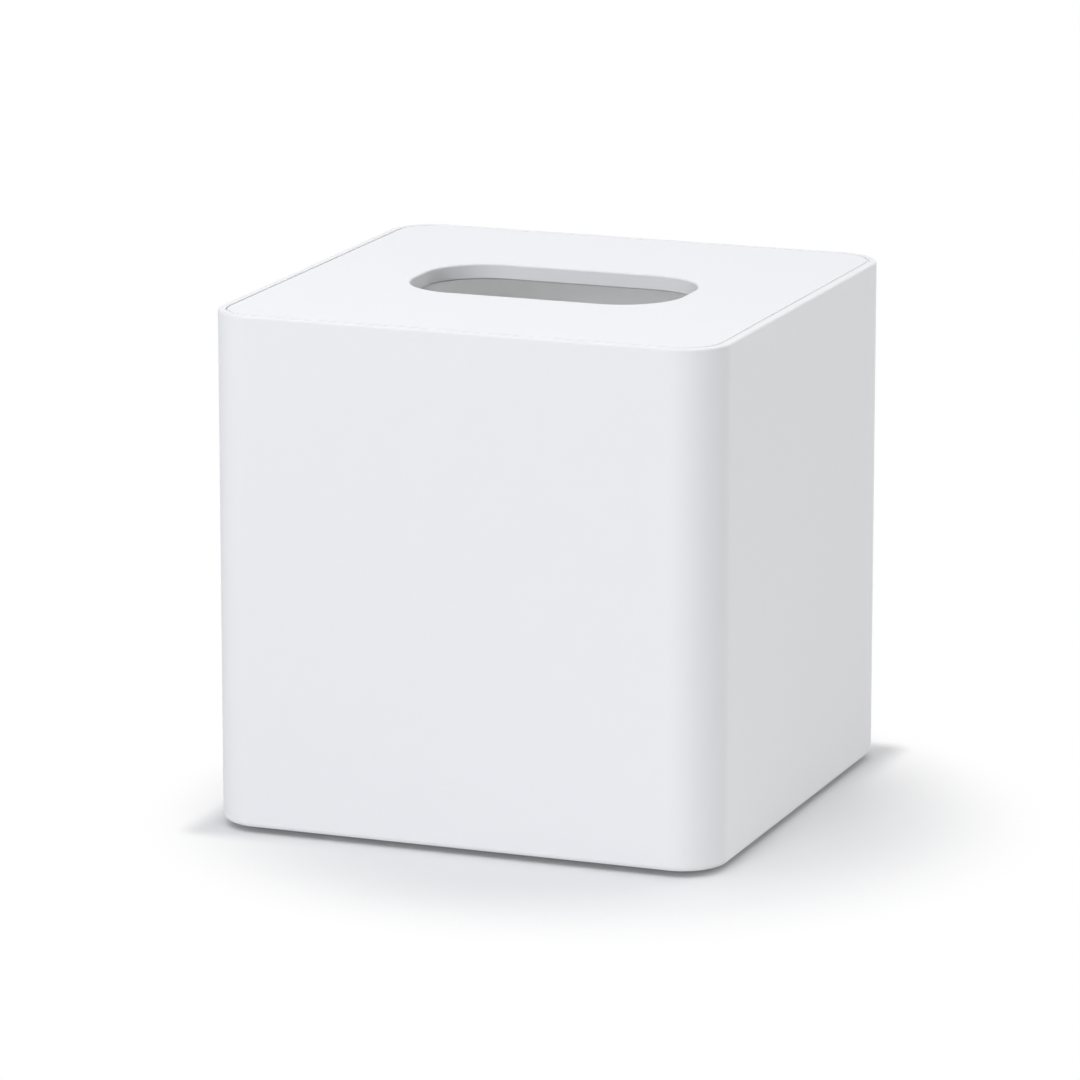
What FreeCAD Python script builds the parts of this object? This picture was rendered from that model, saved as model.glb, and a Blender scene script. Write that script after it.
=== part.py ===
import FreeCAD, Part
import math
import os
import re

import Sketcher

# A square tissue box: a one-piece tub, an inset lid with a slot, and four non-slip pads.
# Millimetres. The origin is the middle of the footprint, on the ground, with +Z up,
# +X to the right and the front wall towards -Y.

SHEET = "Dimensions"

# Driving dimensions: value name, size in millimetres, what it measures
DRIVING_DIMENSIONS = (
    ("box_width", 135.0, "outer width of the tub, along X"),
    ("box_depth", 135.0, "outer depth of the tub, along Y"),
    ("box_height", 133.0, "height of the rim above the ground"),
    ("corner_radius", 12.0, "radius of the upright outer corners"),
    ("wall_thickness", 3.6, "thickness of the walls below the lid"),
    ("floor_thickness", 3.0, "thickness of the floor"),
    ("rim_width", 1.9, "width of the rim that stands round the lid"),
    ("top_edge_radius", 0.6, "rounding of the rim's outer edge"),
    ("rim_inner_radius", 0.1, "rounding of the rim's inner edge"),
    ("bottom_edge_radius", 1.5, "rounding of the tub's bottom edge"),
    ("floor_corner_radius", 2.0, "rounding between the walls and the floor, inside"),
    ("lid_gap", 0.25, "gap between the rim and the lid's plate"),
    ("lid_thickness", 2.6, "thickness of the lid's plate"),
    ("seam_width", 0.65, "width of the groove that shows round the lid"),
    ("seam_depth", 0.3, "depth of the groove that shows round the lid"),
    ("lid_edge_radius", 0.1, "rounding of the lid's outer top edge"),
    ("slot_length", 73.0, "length of the slot, along X"),
    ("slot_width", 41.0, "width of the slot, along Y"),
    ("slot_end_flat", 8.0, "straight stretch in the middle of each slot end"),
    ("slot_edge_radius", 0.6, "rounding of the slot's top edge"),
    ("slot_lower_radius", 0.5, "rounding of the slot's lower edge"),
    ("lip_depth", 4.2, "depth of the slot's lip below the top of the lid"),
    ("lip_thickness", 1.8, "thickness of the lip round the slot"),
    ("skirt_clearance", 0.5, "gap between the walls and the lid's skirt"),
    ("skirt_thickness", 1.6, "thickness of the lid's skirt"),
    ("skirt_depth", 6.0, "depth of the skirt below the lid's plate"),
    ("pad_diameter", 10.0, "diameter of a pad"),
    ("pad_thickness", 2.5, "thickness of a pad"),
    ("pad_standoff", 1.5, "height of the tub's underside above the ground"),
    ("pad_edge_radius", 0.3, "rounding of a pad's lower edge"),
    ("pad_inset", 16.0, "distance of a pad's centre from the tub's outer faces"),
    ("pad_clearance", 0.2, "gap round a pad in its recess"),
)

# Heights above the ground, and radii that follow from the walls outside them
LID_UNDERSIDE = "box_height - lid_thickness"
REBATE_RADIUS = "corner_radius - rim_width"
CAVITY_RADIUS = "corner_radius - wall_thickness"
SLOT_RADIUS = "(slot_width - slot_end_flat) / 2"

# Each pad's side of the box: +1 or -1 along X, then along Y
PAD_SIDES = {
    "pad_front_left": (-1, -1),
    "pad_front_right": (1, -1),
    "pad_back_left": (-1, 1),
    "pad_back_right": (1, 1),
}

# Point numbers of a sketch's lines and arcs, and the sketch's own origin
START, END, CENTRE = 1, 2, 3
SKETCH_ORIGIN = (-1, 1)


def bind(target, prop, formula):
    """Drive one property of an object by a formula of value names."""
    expression = re.sub(r"[a-z][a-z_]+", lambda name: f"{SHEET}.{name.group()}", formula)
    target.setExpression(prop, expression)


def add_sheet(document):
    """Write the driving dimensions to the document's sheet."""
    sheet = document.addObject("Spreadsheet::Sheet", SHEET)
    for row, (alias, size, meaning) in enumerate(DRIVING_DIMENSIONS, start=1):
        sheet.set(f"A{row}", meaning)
        sheet.set(f"B{row}", str(size))
        sheet.setAlias(f"B{row}", alias)
    document.recompute()


def add_body(document, label):
    """Start a solid piece that its label names."""
    body = document.addObject("PartDesign::Body", f"{label}_body")
    body.Label = label
    return body


def add_sketch(body, name, level):
    """Add a level sketch to a body, at a height above the body's origin."""
    sketch = body.newObject("Sketcher::SketchObject", name)
    level_plane = next(plane for plane in body.Origin.OriginFeatures if plane.Role == "XY_Plane")
    sketch.AttachmentSupport = [(level_plane, "")]
    sketch.MapMode = "FlatFace"
    bind(sketch, "AttachmentOffset.Base.z", level)
    return sketch


def constrain(sketch, name, formula, constraint):
    """Add a constraint to a sketch under a name, with its size bound to a formula."""
    index = sketch.addConstraint(constraint)
    sketch.renameConstraint(index, name)
    bind(sketch, f"Constraints.{name}", formula)


def draw_rounded_rectangle(sketch, width, depth, radius, prefix=""):
    """Draw a rounded rectangle round the sketch's origin, sized by three formulas.

    It starts as a plain square with round corners, which the constraints then resize.
    """
    half, straight = 40.0, 30.0
    corner_start = half - straight
    first = sketch.GeometryCount
    for turn in range(4):
        angle = turn * math.pi / 2
        spin = FreeCAD.Rotation(FreeCAD.Vector(0, 0, 1), math.degrees(angle))
        low = spin.multVec(FreeCAD.Vector(half, -straight, 0))
        high = spin.multVec(FreeCAD.Vector(half, straight, 0))
        centre = spin.multVec(FreeCAD.Vector(straight, straight, 0))
        circle = Part.Circle(centre, FreeCAD.Vector(0, 0, 1), corner_start)
        sketch.addGeometry(Part.LineSegment(low, high), False)
        sketch.addGeometry(Part.ArcOfCircle(circle, angle, angle + math.pi / 2), False)

    right, top, left, bottom = range(first, first + 8, 2)
    corners = range(first + 1, first + 8, 2)
    for step in range(8):
        following = first + (step + 1) % 8
        sketch.addConstraint(Sketcher.Constraint("Tangent", first + step, END, following, START))
    for corner in corners[1:]:
        sketch.addConstraint(Sketcher.Constraint("Equal", corners[0], corner))
    for side, direction in ((right, "Vertical"), (left, "Vertical"), (top, "Horizontal"),
                            (bottom, "Horizontal")):
        sketch.addConstraint(Sketcher.Constraint(direction, side))
    sketch.addConstraint(Sketcher.Constraint(
        "Symmetric", corners[0], CENTRE, corners[2], CENTRE, *SKETCH_ORIGIN))

    constrain(sketch, prefix + "width", width, Sketcher.Constraint(
        "DistanceX", left, START, right, START, 2 * half))
    constrain(sketch, prefix + "depth", depth, Sketcher.Constraint(
        "DistanceY", bottom, START, top, START, 2 * half))
    constrain(sketch, prefix + "radius", radius, Sketcher.Constraint(
        "Radius", corners[0], corner_start))


def draw_circle(sketch, name, diameter, across="0", along="0"):
    """Draw a circle whose centre and diameter are formulas."""
    start_size = 5.0
    centre = FreeCAD.Vector(start_size, start_size, 0)
    circle = sketch.addGeometry(Part.Circle(centre, FreeCAD.Vector(0, 0, 1), start_size), False)
    if across == along == "0":
        sketch.addConstraint(Sketcher.Constraint("Coincident", circle, CENTRE, *SKETCH_ORIGIN))
    else:
        constrain(sketch, name + "_across", across, Sketcher.Constraint(
            "DistanceX", *SKETCH_ORIGIN, circle, CENTRE, start_size))
        constrain(sketch, name + "_along", along, Sketcher.Constraint(
            "DistanceY", *SKETCH_ORIGIN, circle, CENTRE, start_size))
    constrain(sketch, name + "_diameter", diameter, Sketcher.Constraint(
        "Diameter", circle, 2 * start_size))


def add_pad(body, name, sketch, length, downward=False):
    """Grow a sketch upward, or downward, into solid material."""
    pad = body.newObject("PartDesign::Pad", name)
    pad.Profile = sketch
    pad.Reversed = downward
    bind(pad, "Length", length)
    body.Document.recompute()
    return pad


def add_pocket(body, name, sketch, depth, upward=False):
    """Cut a sketch downward, or upward, out of the body, and see that it cuts."""
    volume_before = body.Shape.Volume
    pocket = body.newObject("PartDesign::Pocket", name)
    pocket.Profile = sketch
    pocket.Reversed = upward
    bind(pocket, "Length", depth)
    body.Document.recompute()
    if not body.Shape.Volume < volume_before:
        raise RuntimeError(f"{name} cuts nothing")
    return pocket


def level_faces(feature, direction):
    """List the flat faces that look up (+1) or down (-1), from the lowest to the highest."""
    faces = [
        face for face in feature.Shape.Faces
        if isinstance(face.Surface, Part.Plane) and face.normalAt(0, 0).z * direction > 0.9
    ]
    return sorted(faces, key=lambda face: face.CenterOfMass.z)


def add_fillet(body, name, feature, wire, radius):
    """Round the edges of a feature that a wire of one of its faces is made of."""
    edge_names = [
        f"Edge{number}" for number, edge in enumerate(feature.Shape.Edges, start=1)
        if any(edge.isSame(member) for member in wire.Edges)
    ]
    fillet = body.newObject("PartDesign::Fillet", name)
    fillet.Base = (feature, edge_names)
    bind(fillet, "Radius", radius)
    body.Document.recompute()
    return fillet


def inner_wire(face):
    """Give a ring-shaped face's inner outline."""
    return next(wire for wire in face.Wires if not wire.isSame(face.OuterWire))


def make_tub(document):
    """Build the one-piece tub: walls, floor, the lid's rebate and the pads' recesses."""
    body = add_body(document, "body")

    outline = add_sketch(body, "tub_outline", "pad_standoff")
    draw_rounded_rectangle(outline, "box_width", "box_depth", "corner_radius")
    block = add_pad(body, "tub_block", outline, "box_height - pad_standoff")
    add_fillet(body, "bottom_edge", block, level_faces(block, -1)[0].OuterWire,
               "bottom_edge_radius")

    cavity_outline = add_sketch(body, "cavity_outline", "box_height")
    draw_rounded_rectangle(
        cavity_outline,
        "box_width - 2 * wall_thickness",
        "box_depth - 2 * wall_thickness",
        CAVITY_RADIUS,
    )
    cavity = add_pocket(body, "cavity", cavity_outline,
                        "box_height - pad_standoff - floor_thickness")
    add_fillet(body, "floor_corner", cavity, level_faces(cavity, 1)[0].OuterWire,
               "floor_corner_radius")

    rebate_outline = add_sketch(body, "rebate_outline", "box_height")
    draw_rounded_rectangle(
        rebate_outline, "box_width - 2 * rim_width", "box_depth - 2 * rim_width", REBATE_RADIUS)
    rebate = add_pocket(body, "lid_rebate", rebate_outline, "lid_thickness")
    outer_round = add_fillet(body, "rim_outer_edge", rebate,
                             level_faces(rebate, 1)[-1].OuterWire, "top_edge_radius")
    add_fillet(body, "rim_inner_edge", outer_round,
               inner_wire(level_faces(outer_round, 1)[-1]), "rim_inner_radius")

    recess_outline = add_sketch(body, "recess_outline", "pad_standoff")
    for label, (side_x, side_y) in PAD_SIDES.items():
        draw_circle(
            recess_outline,
            label,
            "pad_diameter + 2 * pad_clearance",
            f"{side_x} * (box_width / 2 - pad_inset)",
            f"{side_y} * (box_depth / 2 - pad_inset)",
        )
    add_pocket(body, "pad_recesses", recess_outline, "pad_thickness - pad_standoff", upward=True)
    return body


def draw_lid_outline(sketch, gap):
    """Draw the lid's outline with a gap between it and the rim."""
    draw_rounded_rectangle(
        sketch,
        f"box_width - 2 * (rim_width + {gap})",
        f"box_depth - 2 * (rim_width + {gap})",
        f"{REBATE_RADIUS} - {gap}",
    )


def make_lid(document):
    """Build the inset lid: a plate with a lipped slot and a skirt that centres it."""
    body = add_body(document, "lid")

    plate_outline = add_sketch(body, "plate_outline", LID_UNDERSIDE)
    draw_lid_outline(plate_outline, "lid_gap")
    add_pad(body, "plate", plate_outline, "lid_thickness - seam_depth")

    top_outline = add_sketch(body, "top_outline", "box_height - seam_depth")
    draw_lid_outline(top_outline, "seam_width")
    top = add_pad(body, "top", top_outline, "seam_depth")
    add_fillet(body, "top_edge", top, level_faces(top, 1)[-1].OuterWire, "lid_edge_radius")

    lip_outline = add_sketch(body, "lip_outline", LID_UNDERSIDE)
    draw_rounded_rectangle(
        lip_outline,
        "slot_length + 2 * lip_thickness",
        "slot_width + 2 * lip_thickness",
        f"{SLOT_RADIUS} + lip_thickness",
    )
    add_pad(body, "lip", lip_outline, "lip_depth - lid_thickness", downward=True)

    skirt_outline = add_sketch(body, "skirt_outline", LID_UNDERSIDE)
    outer_inset = "wall_thickness + skirt_clearance"
    for prefix, inset in (("outer_", outer_inset), ("inner_", f"{outer_inset} + skirt_thickness")):
        draw_rounded_rectangle(
            skirt_outline,
            f"box_width - 2 * ({inset})",
            f"box_depth - 2 * ({inset})",
            f"corner_radius - ({inset})",
            prefix,
        )
    add_pad(body, "skirt", skirt_outline, "skirt_depth", downward=True)

    slot_outline = add_sketch(body, "slot_outline", "box_height")
    draw_rounded_rectangle(slot_outline, "slot_length", "slot_width", SLOT_RADIUS)
    slot = add_pocket(body, "slot", slot_outline, "lip_depth")
    top_round = add_fillet(body, "slot_top_edge", slot, inner_wire(level_faces(slot, 1)[-1]),
                           "slot_edge_radius")
    lip_end = next(face for face in level_faces(top_round, -1) if lies_inside(face, top_round))
    add_fillet(body, "slot_lower_edge", top_round, inner_wire(lip_end), "slot_lower_radius")
    return body


def lies_inside(face, feature):
    """Tell the lip's end face from the skirt's, which spans nearly the whole lid."""
    largest_share = 0.8
    return face.BoundBox.XLength < feature.Shape.BoundBox.XLength * largest_share


def make_pad(document, label, side_x, side_y):
    """Build one round pad, seated in its recess with its lower face on the ground."""
    body = add_body(document, label)
    outline = add_sketch(body, f"{label}_outline", "0")
    draw_circle(outline, "pad", "pad_diameter")
    disc = add_pad(body, f"{label}_disc", outline, "pad_thickness")
    add_fillet(body, f"{label}_edge", disc, level_faces(disc, -1)[0].OuterWire,
               "pad_edge_radius")
    bind(body, "Placement.Base.x", f"{side_x} * (box_width / 2 - pad_inset)")
    bind(body, "Placement.Base.y", f"{side_y} * (box_depth / 2 - pad_inset)")
    return body


def check_document(document, pieces):
    """Stop if any object failed or any piece isn't one valid solid."""
    for item in document.Objects:
        if {"Invalid", "Error"} & set(item.State):
            raise RuntimeError(f"{item.Label} failed: {item.State}")
    for piece in pieces:
        if piece.Shape.isNull() or not piece.Shape.isValid() or len(piece.Shape.Solids) != 1:
            raise RuntimeError(f"{piece.Label} isn't one valid solid")


def write_pieces(pieces):
    """Write each piece to a STEP file that its label names."""
    os.makedirs("parts", exist_ok=True)
    for piece in pieces:
        piece.Shape.exportStep(f"parts/{piece.Label}.step")
        box = piece.Shape.BoundBox
        print(f"{piece.Label}: {piece.Shape.Volume:.0f} mm3, z {box.ZMin:.2f} to {box.ZMax:.2f}")


def main():
    document = FreeCAD.newDocument("TissueBox")
    add_sheet(document)
    pieces = [make_tub(document), make_lid(document)]
    pieces += [make_pad(document, label, *sides) for label, sides in PAD_SIDES.items()]
    document.recompute()
    check_document(document, pieces)
    write_pieces(pieces)


main()
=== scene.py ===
import math

import bmesh
import bpy
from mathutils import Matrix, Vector


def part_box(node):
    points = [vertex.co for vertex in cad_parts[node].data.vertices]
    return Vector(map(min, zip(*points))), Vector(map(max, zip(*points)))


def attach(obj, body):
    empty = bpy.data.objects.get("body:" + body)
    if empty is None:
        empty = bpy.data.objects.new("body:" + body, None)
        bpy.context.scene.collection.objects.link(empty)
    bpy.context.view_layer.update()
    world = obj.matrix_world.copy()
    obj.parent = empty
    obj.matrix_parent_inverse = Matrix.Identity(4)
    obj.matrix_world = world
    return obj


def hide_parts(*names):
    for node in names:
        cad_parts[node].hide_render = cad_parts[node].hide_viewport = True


# A matte white square tissue box: tub, inset lid with an oblong slot, four non-slip pads.
# Metres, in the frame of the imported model: +Z up, front wall towards -Y.

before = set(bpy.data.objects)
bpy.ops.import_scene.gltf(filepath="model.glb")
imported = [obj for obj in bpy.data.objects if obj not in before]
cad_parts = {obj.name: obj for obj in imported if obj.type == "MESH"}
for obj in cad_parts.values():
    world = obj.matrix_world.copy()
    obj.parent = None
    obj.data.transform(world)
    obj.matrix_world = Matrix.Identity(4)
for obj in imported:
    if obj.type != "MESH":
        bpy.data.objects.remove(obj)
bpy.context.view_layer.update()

MM = 0.001

# Tub
CORNER_RADIUS = 12 * MM
WALL = 3.6 * MM
FLOOR_THICKNESS = 3 * MM
RIM_WIDTH = 1.9 * MM
TOP_EDGE_RADIUS = 0.6 * MM
RIM_INNER_RADIUS = 0.1 * MM
BOTTOM_EDGE_RADIUS = 1.5 * MM
FLOOR_CORNER_RADIUS = 2 * MM

# Lid
LID_THICKNESS = 2.6 * MM
LID_EDGE_RADIUS = 0.1 * MM
SEAM_WIDTH = 0.65 * MM
SEAM_DEPTH = 0.3 * MM
SLOT_LENGTH = 73 * MM
SLOT_WIDTH = 41 * MM
SLOT_END_FLAT = 8 * MM
SLOT_EDGE_RADIUS = 0.6 * MM
SLOT_LOWER_RADIUS = 0.5 * MM
LIP_DEPTH = 4.2 * MM
LIP_THICKNESS = 1.8 * MM
SKIRT_CLEARANCE = 0.5 * MM
SKIRT_THICKNESS = 1.6 * MM

# Pads and their recesses
PADS = ("pad_front_left", "pad_front_right", "pad_back_left", "pad_back_right")
PAD_CLEARANCE = 0.2 * MM
PAD_EDGE_RADIUS = 0.3 * MM

# Mesh fineness
CORNER_STEPS = 40
ROUND_STEPS = 8
CIRCLE_STEPS = 64


def arc(centre, radius, start, end, steps=ROUND_STEPS):
    """Give the points of a profile's arc, from one angle to another in degrees."""
    points = []
    for step in range(steps + 1):
        angle = math.radians(start + (end - start) * step / steps)
        points.append((centre[0] + radius * math.cos(angle), centre[1] + radius * math.sin(angle)))
    return points


def outline(half_x, half_y, radius, inset, level):
    """Give a rounded rectangle's points, drawn in by an inset, at one level."""
    points = []
    for quarter in range(4):
        side_x = 1 if quarter in (0, 3) else -1
        side_y = 1 if quarter in (0, 1) else -1
        for step in range(CORNER_STEPS + 1):
            angle = math.radians(90 * (quarter + step / CORNER_STEPS))
            points.append(Vector((
                side_x * (half_x - radius) + (radius - inset) * math.cos(angle),
                side_y * (half_y - radius) + (radius - inset) * math.sin(angle),
                level,
            )))
    return points


def circle(centre, radius, level):
    """Give the points of a level circle."""
    turns = [2 * math.pi * step / CIRCLE_STEPS for step in range(CIRCLE_STEPS)]
    return [
        Vector((centre.x + radius * math.cos(turn), centre.y + radius * math.sin(turn), level))
        for turn in turns
    ]


def add_ring(mesh, points):
    """Add one closed ring of points to a mesh."""
    return [mesh.verts.new(point) for point in points]


def bridge(mesh, first, second):
    """Join two rings of as many points with a band of faces."""
    count = len(first)
    for index in range(count):
        following = (index + 1) % count
        mesh.faces.new((first[index], first[following], second[following], second[index]))


def bridge_all(mesh, rings):
    """Join each ring to the next one."""
    for first, second in zip(rings, rings[1:]):
        bridge(mesh, first, second)


def fill(mesh, rings):
    """Close a flat face whose outline and holes are rings."""
    edges = []
    for ring in rings:
        for index, vertex in enumerate(ring):
            other = ring[(index + 1) % len(ring)]
            edges.append(mesh.edges.get((vertex, other)) or mesh.edges.new((vertex, other)))
    bmesh.ops.triangle_fill(mesh, edges=edges, use_beauty=True)


def finish_piece(name, mesh, material):
    """Turn a finished bmesh into an object with smooth roundings and flat flats."""
    sharpest_smooth = math.radians(50)
    strongest_weight = 100
    bmesh.ops.recalc_face_normals(mesh, faces=mesh.faces)
    for face in mesh.faces:
        face.smooth = True
    for edge in mesh.edges:
        edge.smooth = edge.calc_face_angle(0) < sharpest_smooth
    data = bpy.data.meshes.new(name)
    mesh.to_mesh(data)
    mesh.free()
    piece = bpy.data.objects.new(name, data)
    bpy.context.scene.collection.objects.link(piece)
    data.materials.append(material)
    normals = piece.modifiers.new("flat_flats", "WEIGHTED_NORMAL")
    normals.mode = "FACE_AREA"
    normals.weight = strongest_weight
    normals.keep_sharp = True
    return piece


def pad_places():
    """Give each pad's centre and radius, and the levels of its two faces."""
    places = {}
    for name in PADS:
        low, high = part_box(name)
        places[name] = ((low + high) / 2, (high.x - low.x) / 2, low.z, high.z)
    return places


def make_tub(material):
    """Model the one-piece tub."""
    low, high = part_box("body")
    ledge = high.z - LID_THICKNESS
    floor = low.z + FLOOR_THICKNESS

    profile = arc((BOTTOM_EDGE_RADIUS, low.z + BOTTOM_EDGE_RADIUS), BOTTOM_EDGE_RADIUS, 270, 180)
    profile += arc((TOP_EDGE_RADIUS, high.z - TOP_EDGE_RADIUS), TOP_EDGE_RADIUS, 180, 90)
    profile += arc((RIM_WIDTH - RIM_INNER_RADIUS, high.z - RIM_INNER_RADIUS),
                   RIM_INNER_RADIUS, 90, 0)
    profile += [(RIM_WIDTH, ledge), (WALL, ledge)]
    profile += arc((WALL + FLOOR_CORNER_RADIUS, floor + FLOOR_CORNER_RADIUS),
                   FLOOR_CORNER_RADIUS, 180, 270)

    mesh = bmesh.new()
    rings = [
        add_ring(mesh, outline(high.x, high.y, CORNER_RADIUS, inset, level))
        for inset, level in profile
    ]
    bridge_all(mesh, rings)
    fill(mesh, [rings[-1]])

    mouths = []
    for centre, radius, _, seat in pad_places().values():
        mouth = add_ring(mesh, circle(centre, radius + PAD_CLEARANCE, low.z))
        top = add_ring(mesh, circle(centre, radius + PAD_CLEARANCE, seat))
        bridge(mesh, mouth, top)
        fill(mesh, [top])
        mouths.append(mouth)
    fill(mesh, [rings[0]] + mouths)

    piece = finish_piece("tub_shell", mesh, material)
    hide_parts("body")
    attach(piece, "tub")


def make_lid(material):
    """Model the one-piece lid."""
    low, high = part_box("lid")
    side_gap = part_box("body")[1].x - high.x
    radius = CORNER_RADIUS - side_gap
    under = high.z - LID_THICKNESS
    groove = high.z - SEAM_DEPTH
    groove_inset = RIM_WIDTH + SEAM_WIDTH - side_gap
    skirt_outside = WALL + SKIRT_CLEARANCE - side_gap
    skirt_inside = skirt_outside + SKIRT_THICKNESS
    slot_radius = (SLOT_WIDTH - SLOT_END_FLAT) / 2
    lip_low = high.z - LIP_DEPTH

    outer = arc((groove_inset + LID_EDGE_RADIUS, high.z - LID_EDGE_RADIUS),
                LID_EDGE_RADIUS, 90, 180)
    outer += [(groove_inset, groove), (0, groove), (0, under), (skirt_outside, under),
              (skirt_outside, low.z), (skirt_inside, low.z), (skirt_inside, under)]
    slot = [(-LIP_THICKNESS, under), (-LIP_THICKNESS, lip_low)]
    slot += arc((-SLOT_LOWER_RADIUS, lip_low + SLOT_LOWER_RADIUS), SLOT_LOWER_RADIUS, 270, 360)
    slot += arc((-SLOT_EDGE_RADIUS, high.z - SLOT_EDGE_RADIUS), SLOT_EDGE_RADIUS, 0, 90)

    mesh = bmesh.new()
    rings = [
        add_ring(mesh, outline(high.x, high.y, radius, inset, level)) for inset, level in outer
    ]
    rings += [
        add_ring(mesh, outline(SLOT_LENGTH / 2, SLOT_WIDTH / 2, slot_radius, inset, level))
        for inset, level in slot
    ]
    bridge_all(mesh, rings + rings[:1])

    piece = finish_piece("lid_plate", mesh, material)
    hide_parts("lid")
    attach(piece, "lid")


def make_pad(name, place, material):
    """Model one round pad with a softly rounded lower edge."""
    centre, radius, low, high = place
    profile = [(radius, high)]
    profile += arc((radius - PAD_EDGE_RADIUS, low + PAD_EDGE_RADIUS), PAD_EDGE_RADIUS, 0, -90)
    mesh = bmesh.new()
    rings = [add_ring(mesh, circle(centre, size, level)) for size, level in profile]
    bridge_all(mesh, rings)
    fill(mesh, [rings[0]])
    fill(mesh, [rings[-1]])
    piece = finish_piece(name + "_rubber", mesh, material)
    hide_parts(name)
    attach(piece, "tub")


def feed(tree, socket, value):
    """Link a socket to another node's output, or set it to a plain value."""
    if isinstance(value, bpy.types.NodeSocket):
        tree.links.new(value, socket)
    else:
        socket.default_value = value


def add_node(tree, kind, operation=None, **inputs):
    """Add a shader node and feed its inputs, in whose names underscores stand for spaces."""
    node = tree.nodes.new(kind)
    if operation:
        node.operation = operation
    for name, value in inputs.items():
        feed(tree, node.inputs[name.replace("_", " ")], value)
    return node


def math_node(tree, operation, first, second):
    """Add a node that works out one number from two, and give its output."""
    node = add_node(tree, "ShaderNodeMath", operation)
    for socket, value in zip(node.inputs, (first, second)):
        feed(tree, socket, value)
    return node.outputs["Value"]


def vector_node(tree, operation, first, second=None):
    """Add a node that works on one vector, with a second, fixed one where it needs it."""
    node = add_node(tree, "ShaderNodeVectorMath", operation)
    tree.links.new(first, node.inputs[0])
    if second:
        node.inputs[1].default_value = second
    return node


def moulded_plastic(name, colour, roughness):
    """Make a matte moulded plastic: slightly uneven tone, fine spark-eroded grain, soft waves."""
    tone_size, grain_size, wave_size = 110 * MM, 0.4 * MM, 70 * MM
    tone_change, gloss_change, specular = 0.004, 0.05, 0.3
    grain_height, wave_height = 0.006 * MM, 0.02 * MM

    material = bpy.data.materials.new(name)
    material.use_nodes = True
    tree = material.node_tree
    shader = tree.nodes["Principled BSDF"]
    shader.inputs["Specular IOR Level"].default_value = specular
    place = tree.nodes.new("ShaderNodeTexCoord").outputs["Object"]

    tone = add_node(tree, "ShaderNodeTexNoise", Vector=place, Scale=1 / tone_size, Detail=3)
    shade = tree.nodes.new("ShaderNodeMix")
    shade.data_type = "RGBA"
    shade.inputs["A"].default_value = (*[part * (1 - tone_change) for part in colour], 1)
    shade.inputs["B"].default_value = (*[part * (1 + tone_change) for part in colour], 1)
    tree.links.new(tone.outputs["Fac"], shade.inputs["Factor"])
    tree.links.new(shade.outputs["Result"], shader.inputs["Base Color"])

    grain = add_node(tree, "ShaderNodeTexNoise", Vector=place, Scale=1 / grain_size, Detail=2)
    gloss = add_node(tree, "ShaderNodeMapRange", Value=grain.outputs["Fac"],
                     To_Min=roughness - gloss_change, To_Max=roughness + gloss_change)
    tree.links.new(gloss.outputs["Result"], shader.inputs["Roughness"])

    waves = add_node(tree, "ShaderNodeTexNoise", Vector=place, Scale=1 / wave_size, Detail=1)
    wave_bump = add_node(tree, "ShaderNodeBump", Distance=wave_height, Height=waves.outputs["Fac"])
    grain_bump = add_node(tree, "ShaderNodeBump", Distance=grain_height,
                          Height=grain.outputs["Fac"], Normal=wave_bump.outputs["Normal"])
    tree.links.new(grain_bump.outputs["Normal"], shader.inputs["Normal"])
    return material


def let_light_through(material):
    """Let light spread under the tub's inner faces, and leave its outer faces opaque."""
    light_travel = 19 * MM
    edge_margin = 0.7 * MM
    corner_cut = 4 * MM
    half_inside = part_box("body")[1].x - WALL + edge_margin
    corner_limit = 2 * half_inside - corner_cut

    tree = material.node_tree
    shader = tree.nodes["Principled BSDF"]
    place = tree.nodes.new("ShaderNodeTexCoord").outputs["Object"]
    sides = vector_node(tree, "ABSOLUTE", place).outputs["Vector"]
    split = add_node(tree, "ShaderNodeSeparateXYZ", Vector=sides)
    farther = math_node(tree, "MAXIMUM", split.outputs["X"], split.outputs["Y"])
    both = math_node(tree, "ADD", split.outputs["X"], split.outputs["Y"])
    within_walls = math_node(tree, "LESS_THAN", farther, half_inside)
    within_corners = math_node(tree, "LESS_THAN", both, corner_limit)
    inside = math_node(tree, "MULTIPLY", within_walls, within_corners)
    tree.links.new(inside, shader.inputs["Subsurface Weight"])
    shader.inputs["Subsurface Radius"].default_value = (1, 1, 1)
    shader.inputs["Subsurface Scale"].default_value = light_travel


# Camera: where the photograph was taken from
CAMERA_AZIMUTH = 20.9
CAMERA_ELEVATION = 13.17
CAMERA_DISTANCE = 1.692
CAMERA_LENS = 220
CAMERA_SENSOR = 36
CAMERA_CENTRE = Vector((0, 0, 0.067))
CAMERA_AIM = Vector((-0.0031, -0.0014, 0.0661))


def direction(azimuth, elevation):
    """Give the unit vector towards an azimuth and elevation in degrees, 0 being the front."""
    turn, tilt = math.radians(azimuth), math.radians(elevation)
    return Vector((
        math.sin(turn) * math.cos(tilt), -math.cos(turn) * math.cos(tilt), math.sin(tilt)))


def add_camera():
    """Set the camera at the photograph's angle."""
    data = bpy.data.cameras.new("camera")
    data.lens = CAMERA_LENS
    data.sensor_width = CAMERA_SENSOR
    camera = bpy.data.objects.new("camera", data)
    back = direction(CAMERA_AZIMUTH, CAMERA_ELEVATION)
    camera.location = CAMERA_CENTRE + back * CAMERA_DISTANCE
    camera.rotation_euler = (CAMERA_AIM - camera.location).to_track_quat("-Z", "Y").to_euler()
    bpy.context.scene.collection.objects.link(camera)
    bpy.context.scene.camera = camera


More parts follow.
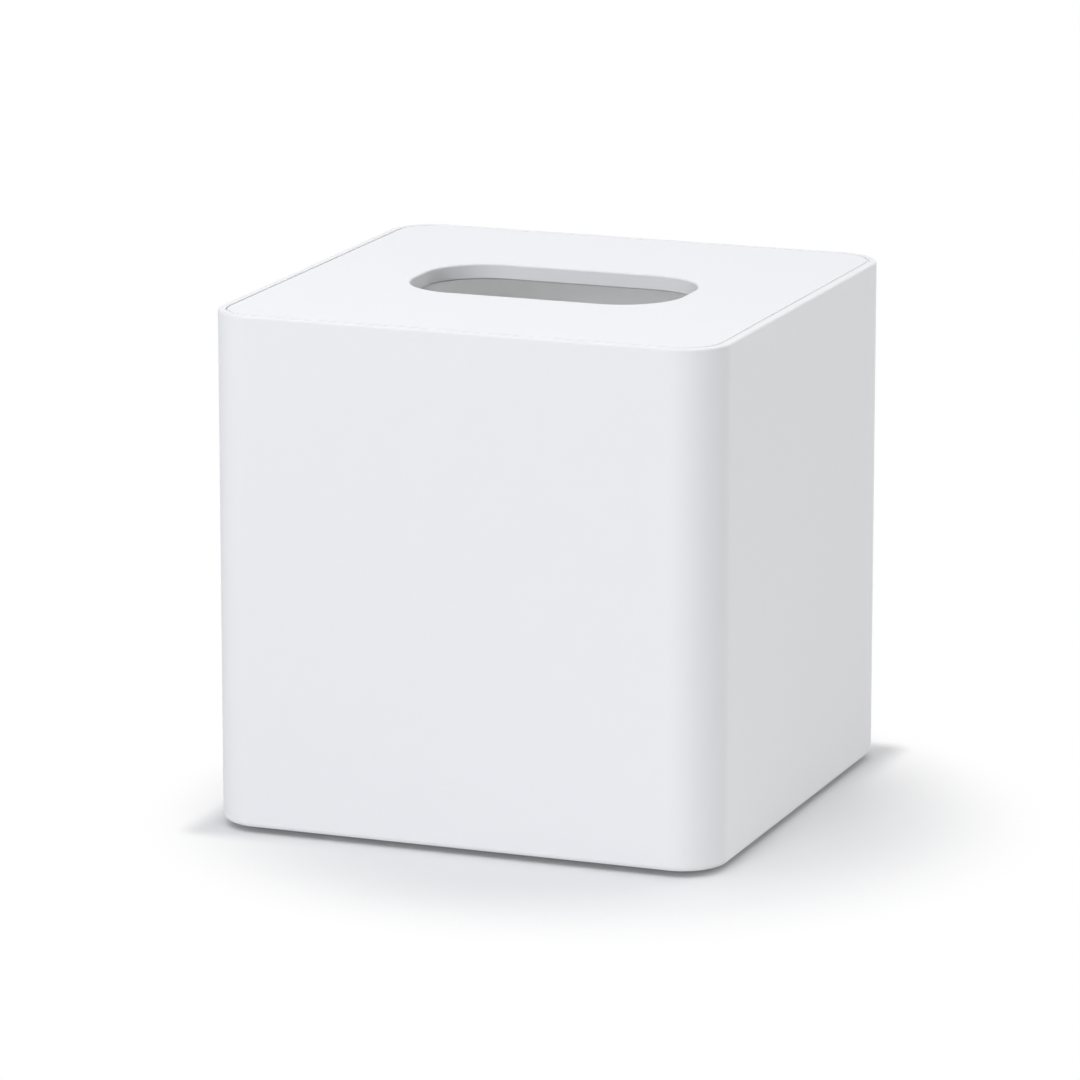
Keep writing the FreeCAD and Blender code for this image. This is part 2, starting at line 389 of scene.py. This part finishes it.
def add_sun(name, azimuth, elevation, strength, spread, colour=(1, 1, 1)):
    """Add a wide soft lamp that shines from an azimuth and elevation, in degrees.

    A strength of 1 lights a white surface that faces the lamp to full white.
    """
    data = bpy.data.lights.new(name, "SUN")
    data.energy = strength * math.pi
    data.angle = math.radians(spread)
    data.color = colour
    lamp = bpy.data.objects.new(name, data)
    lamp.rotation_euler = direction(azimuth, elevation).to_track_quat("Z", "Y").to_euler()
    bpy.context.scene.collection.objects.link(lamp)


def add_softbox(place, size, watts, colour):
    """Hang a square softbox that shines at the lid."""
    data = bpy.data.lights.new("softbox", "AREA")
    data.shape = "SQUARE"
    data.size = size
    data.energy = watts
    data.color = colour
    lamp = bpy.data.objects.new("softbox", data)
    lamp.location = place
    away_from_lid = place - Vector((0, 0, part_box("lid")[1].z))
    lamp.rotation_euler = away_from_lid.to_track_quat("Z", "Y").to_euler()
    bpy.context.scene.collection.objects.link(lamp)


PURE_WHITE = (1, 1, 1, 1)


def seen_directly(tree):
    """Give 1 for rays from the camera, also by way of gloss or glass, and 0 for other light."""
    path = tree.nodes.new("ShaderNodeLightPath")
    by_gloss = math_node(tree, "MAXIMUM", path.outputs["Is Camera Ray"],
                         path.outputs["Is Glossy Ray"])
    return math_node(tree, "MAXIMUM", by_gloss, path.outputs["Is Transmission Ray"])


def add_world(light_strength):
    """Light the scene softly from all round, and show a white background."""
    world = bpy.data.worlds.new("studio")
    bpy.context.scene.world = world
    world.use_nodes = True
    tree = world.node_tree
    tree.nodes.clear()
    light = add_node(tree, "ShaderNodeBackground", Color=PURE_WHITE, Strength=light_strength)
    white = add_node(tree, "ShaderNodeBackground", Color=PURE_WHITE, Strength=1)
    mix = add_node(tree, "ShaderNodeMixShader", Fac=seen_directly(tree))
    tree.links.new(light.outputs["Background"], mix.inputs[1])
    tree.links.new(white.outputs["Background"], mix.inputs[2])
    add_node(tree, "ShaderNodeOutputWorld", Surface=mix.outputs["Shader"])


# Floor: white, with its shadow fading into a pure white background
FLOOR_HALF = 8.0
FLOOR_WHITE = 0.84
FLOOR_ROUGHNESS = 0.9
FADE_CENTRE = Vector((20 * MM, -22 * MM, 0))
FADE_START = 60 * MM
FADE_END = 118 * MM
CONTACT_SHADOW = 9 * MM


def smooth_rise(tree, value, low, high):
    """Give a number that rises smoothly from 0 to 1 between two values."""
    rise = add_node(tree, "ShaderNodeMapRange", Value=value, From_Min=low, From_Max=high)
    rise.interpolation_type = "SMOOTHSTEP"
    return rise.outputs["Result"]


def fade_share(tree):
    """Give how far the floor has faded to white, which it doesn't do right beside the box."""
    body_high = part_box("body")[1]
    place = tree.nodes.new("ShaderNodeTexCoord").outputs["Object"]
    moved = vector_node(tree, "SUBTRACT", place, FADE_CENTRE).outputs["Vector"]
    away = vector_node(tree, "LENGTH", moved).outputs["Value"]
    sides = vector_node(tree, "ABSOLUTE", place).outputs["Vector"]
    beyond = vector_node(tree, "SUBTRACT", sides, (body_high.x, body_high.y, 0)).outputs["Vector"]
    outside = vector_node(tree, "MAXIMUM", beyond, (0, 0, 0)).outputs["Vector"]
    beside = vector_node(tree, "LENGTH", outside).outputs["Value"]
    return math_node(tree, "MULTIPLY", smooth_rise(tree, away, FADE_START, FADE_END),
                     smooth_rise(tree, beside, 0, CONTACT_SHADOW))


def add_floor():
    """Lay a plain white floor that keeps the object's shadow."""
    corners = [(-1, -1), (1, -1), (1, 1), (-1, 1)]
    data = bpy.data.meshes.new("studio_floor")
    data.from_pydata([(x * FLOOR_HALF, y * FLOOR_HALF, 0) for x, y in corners],
                     [], [(0, 1, 2, 3)])
    floor = bpy.data.objects.new("studio_floor", data)
    bpy.context.scene.collection.objects.link(floor)

    material = bpy.data.materials.new("studio_floor")
    material.use_nodes = True
    tree = material.node_tree
    shader = tree.nodes["Principled BSDF"]
    shader.inputs["Base Color"].default_value = (FLOOR_WHITE, FLOOR_WHITE, FLOOR_WHITE, 1)
    shader.inputs["Roughness"].default_value = FLOOR_ROUGHNESS
    shader.inputs["Specular IOR Level"].default_value = 0
    white = add_node(tree, "ShaderNodeEmission", Color=PURE_WHITE, Strength=1)
    faded = math_node(tree, "MULTIPLY", fade_share(tree), seen_directly(tree))
    mix = add_node(tree, "ShaderNodeMixShader", Fac=faded)
    tree.links.new(shader.outputs["BSDF"], mix.inputs[1])
    tree.links.new(white.outputs["Emission"], mix.inputs[2])
    tree.links.new(mix.outputs["Shader"], tree.nodes["Material Output"].inputs["Surface"])
    data.materials.append(material)


# Colours and roughness of the object, and the tint of the lamps in front of it
WHITE = (0.84, 0.843, 0.85)
PAD_GREY = (0.30, 0.31, 0.32)
PLASTIC_ROUGHNESS = 0.68
RUBBER_ROUGHNESS = 0.75
COOL_LIGHT = (0.955, 0.965, 1.0)

tub_plastic = moulded_plastic("tub_plastic", WHITE, PLASTIC_ROUGHNESS)
let_light_through(tub_plastic)
make_tub(tub_plastic)
make_lid(moulded_plastic("lid_plastic", WHITE, PLASTIC_ROUGHNESS))
rubber = moulded_plastic("pad_rubber", PAD_GREY, RUBBER_ROUGHNESS)
for pad_name, pad_place in pad_places().items():
    make_pad(pad_name, pad_place, rubber)

add_floor()
add_world(light_strength=0.06)
add_softbox(place=Vector((0, -0.25, 1.15)), size=1.6, watts=9.2, colour=COOL_LIGHT)
add_softbox(place=Vector((-0.4, -0.5, 1.0)), size=1.0, watts=2.9, colour=COOL_LIGHT)
add_sun("front", azimuth=-10, elevation=14, strength=0.39, spread=20, colour=COOL_LIGHT)
add_sun("back", azimuth=180, elevation=20, strength=0.17, spread=100)
add_sun("back_right", azimuth=150, elevation=20, strength=0.4, spread=60)
add_sun("right", azimuth=105, elevation=15, strength=0.15, spread=60)
add_camera()
bpy.context.scene.view_settings.view_transform = "Standard"
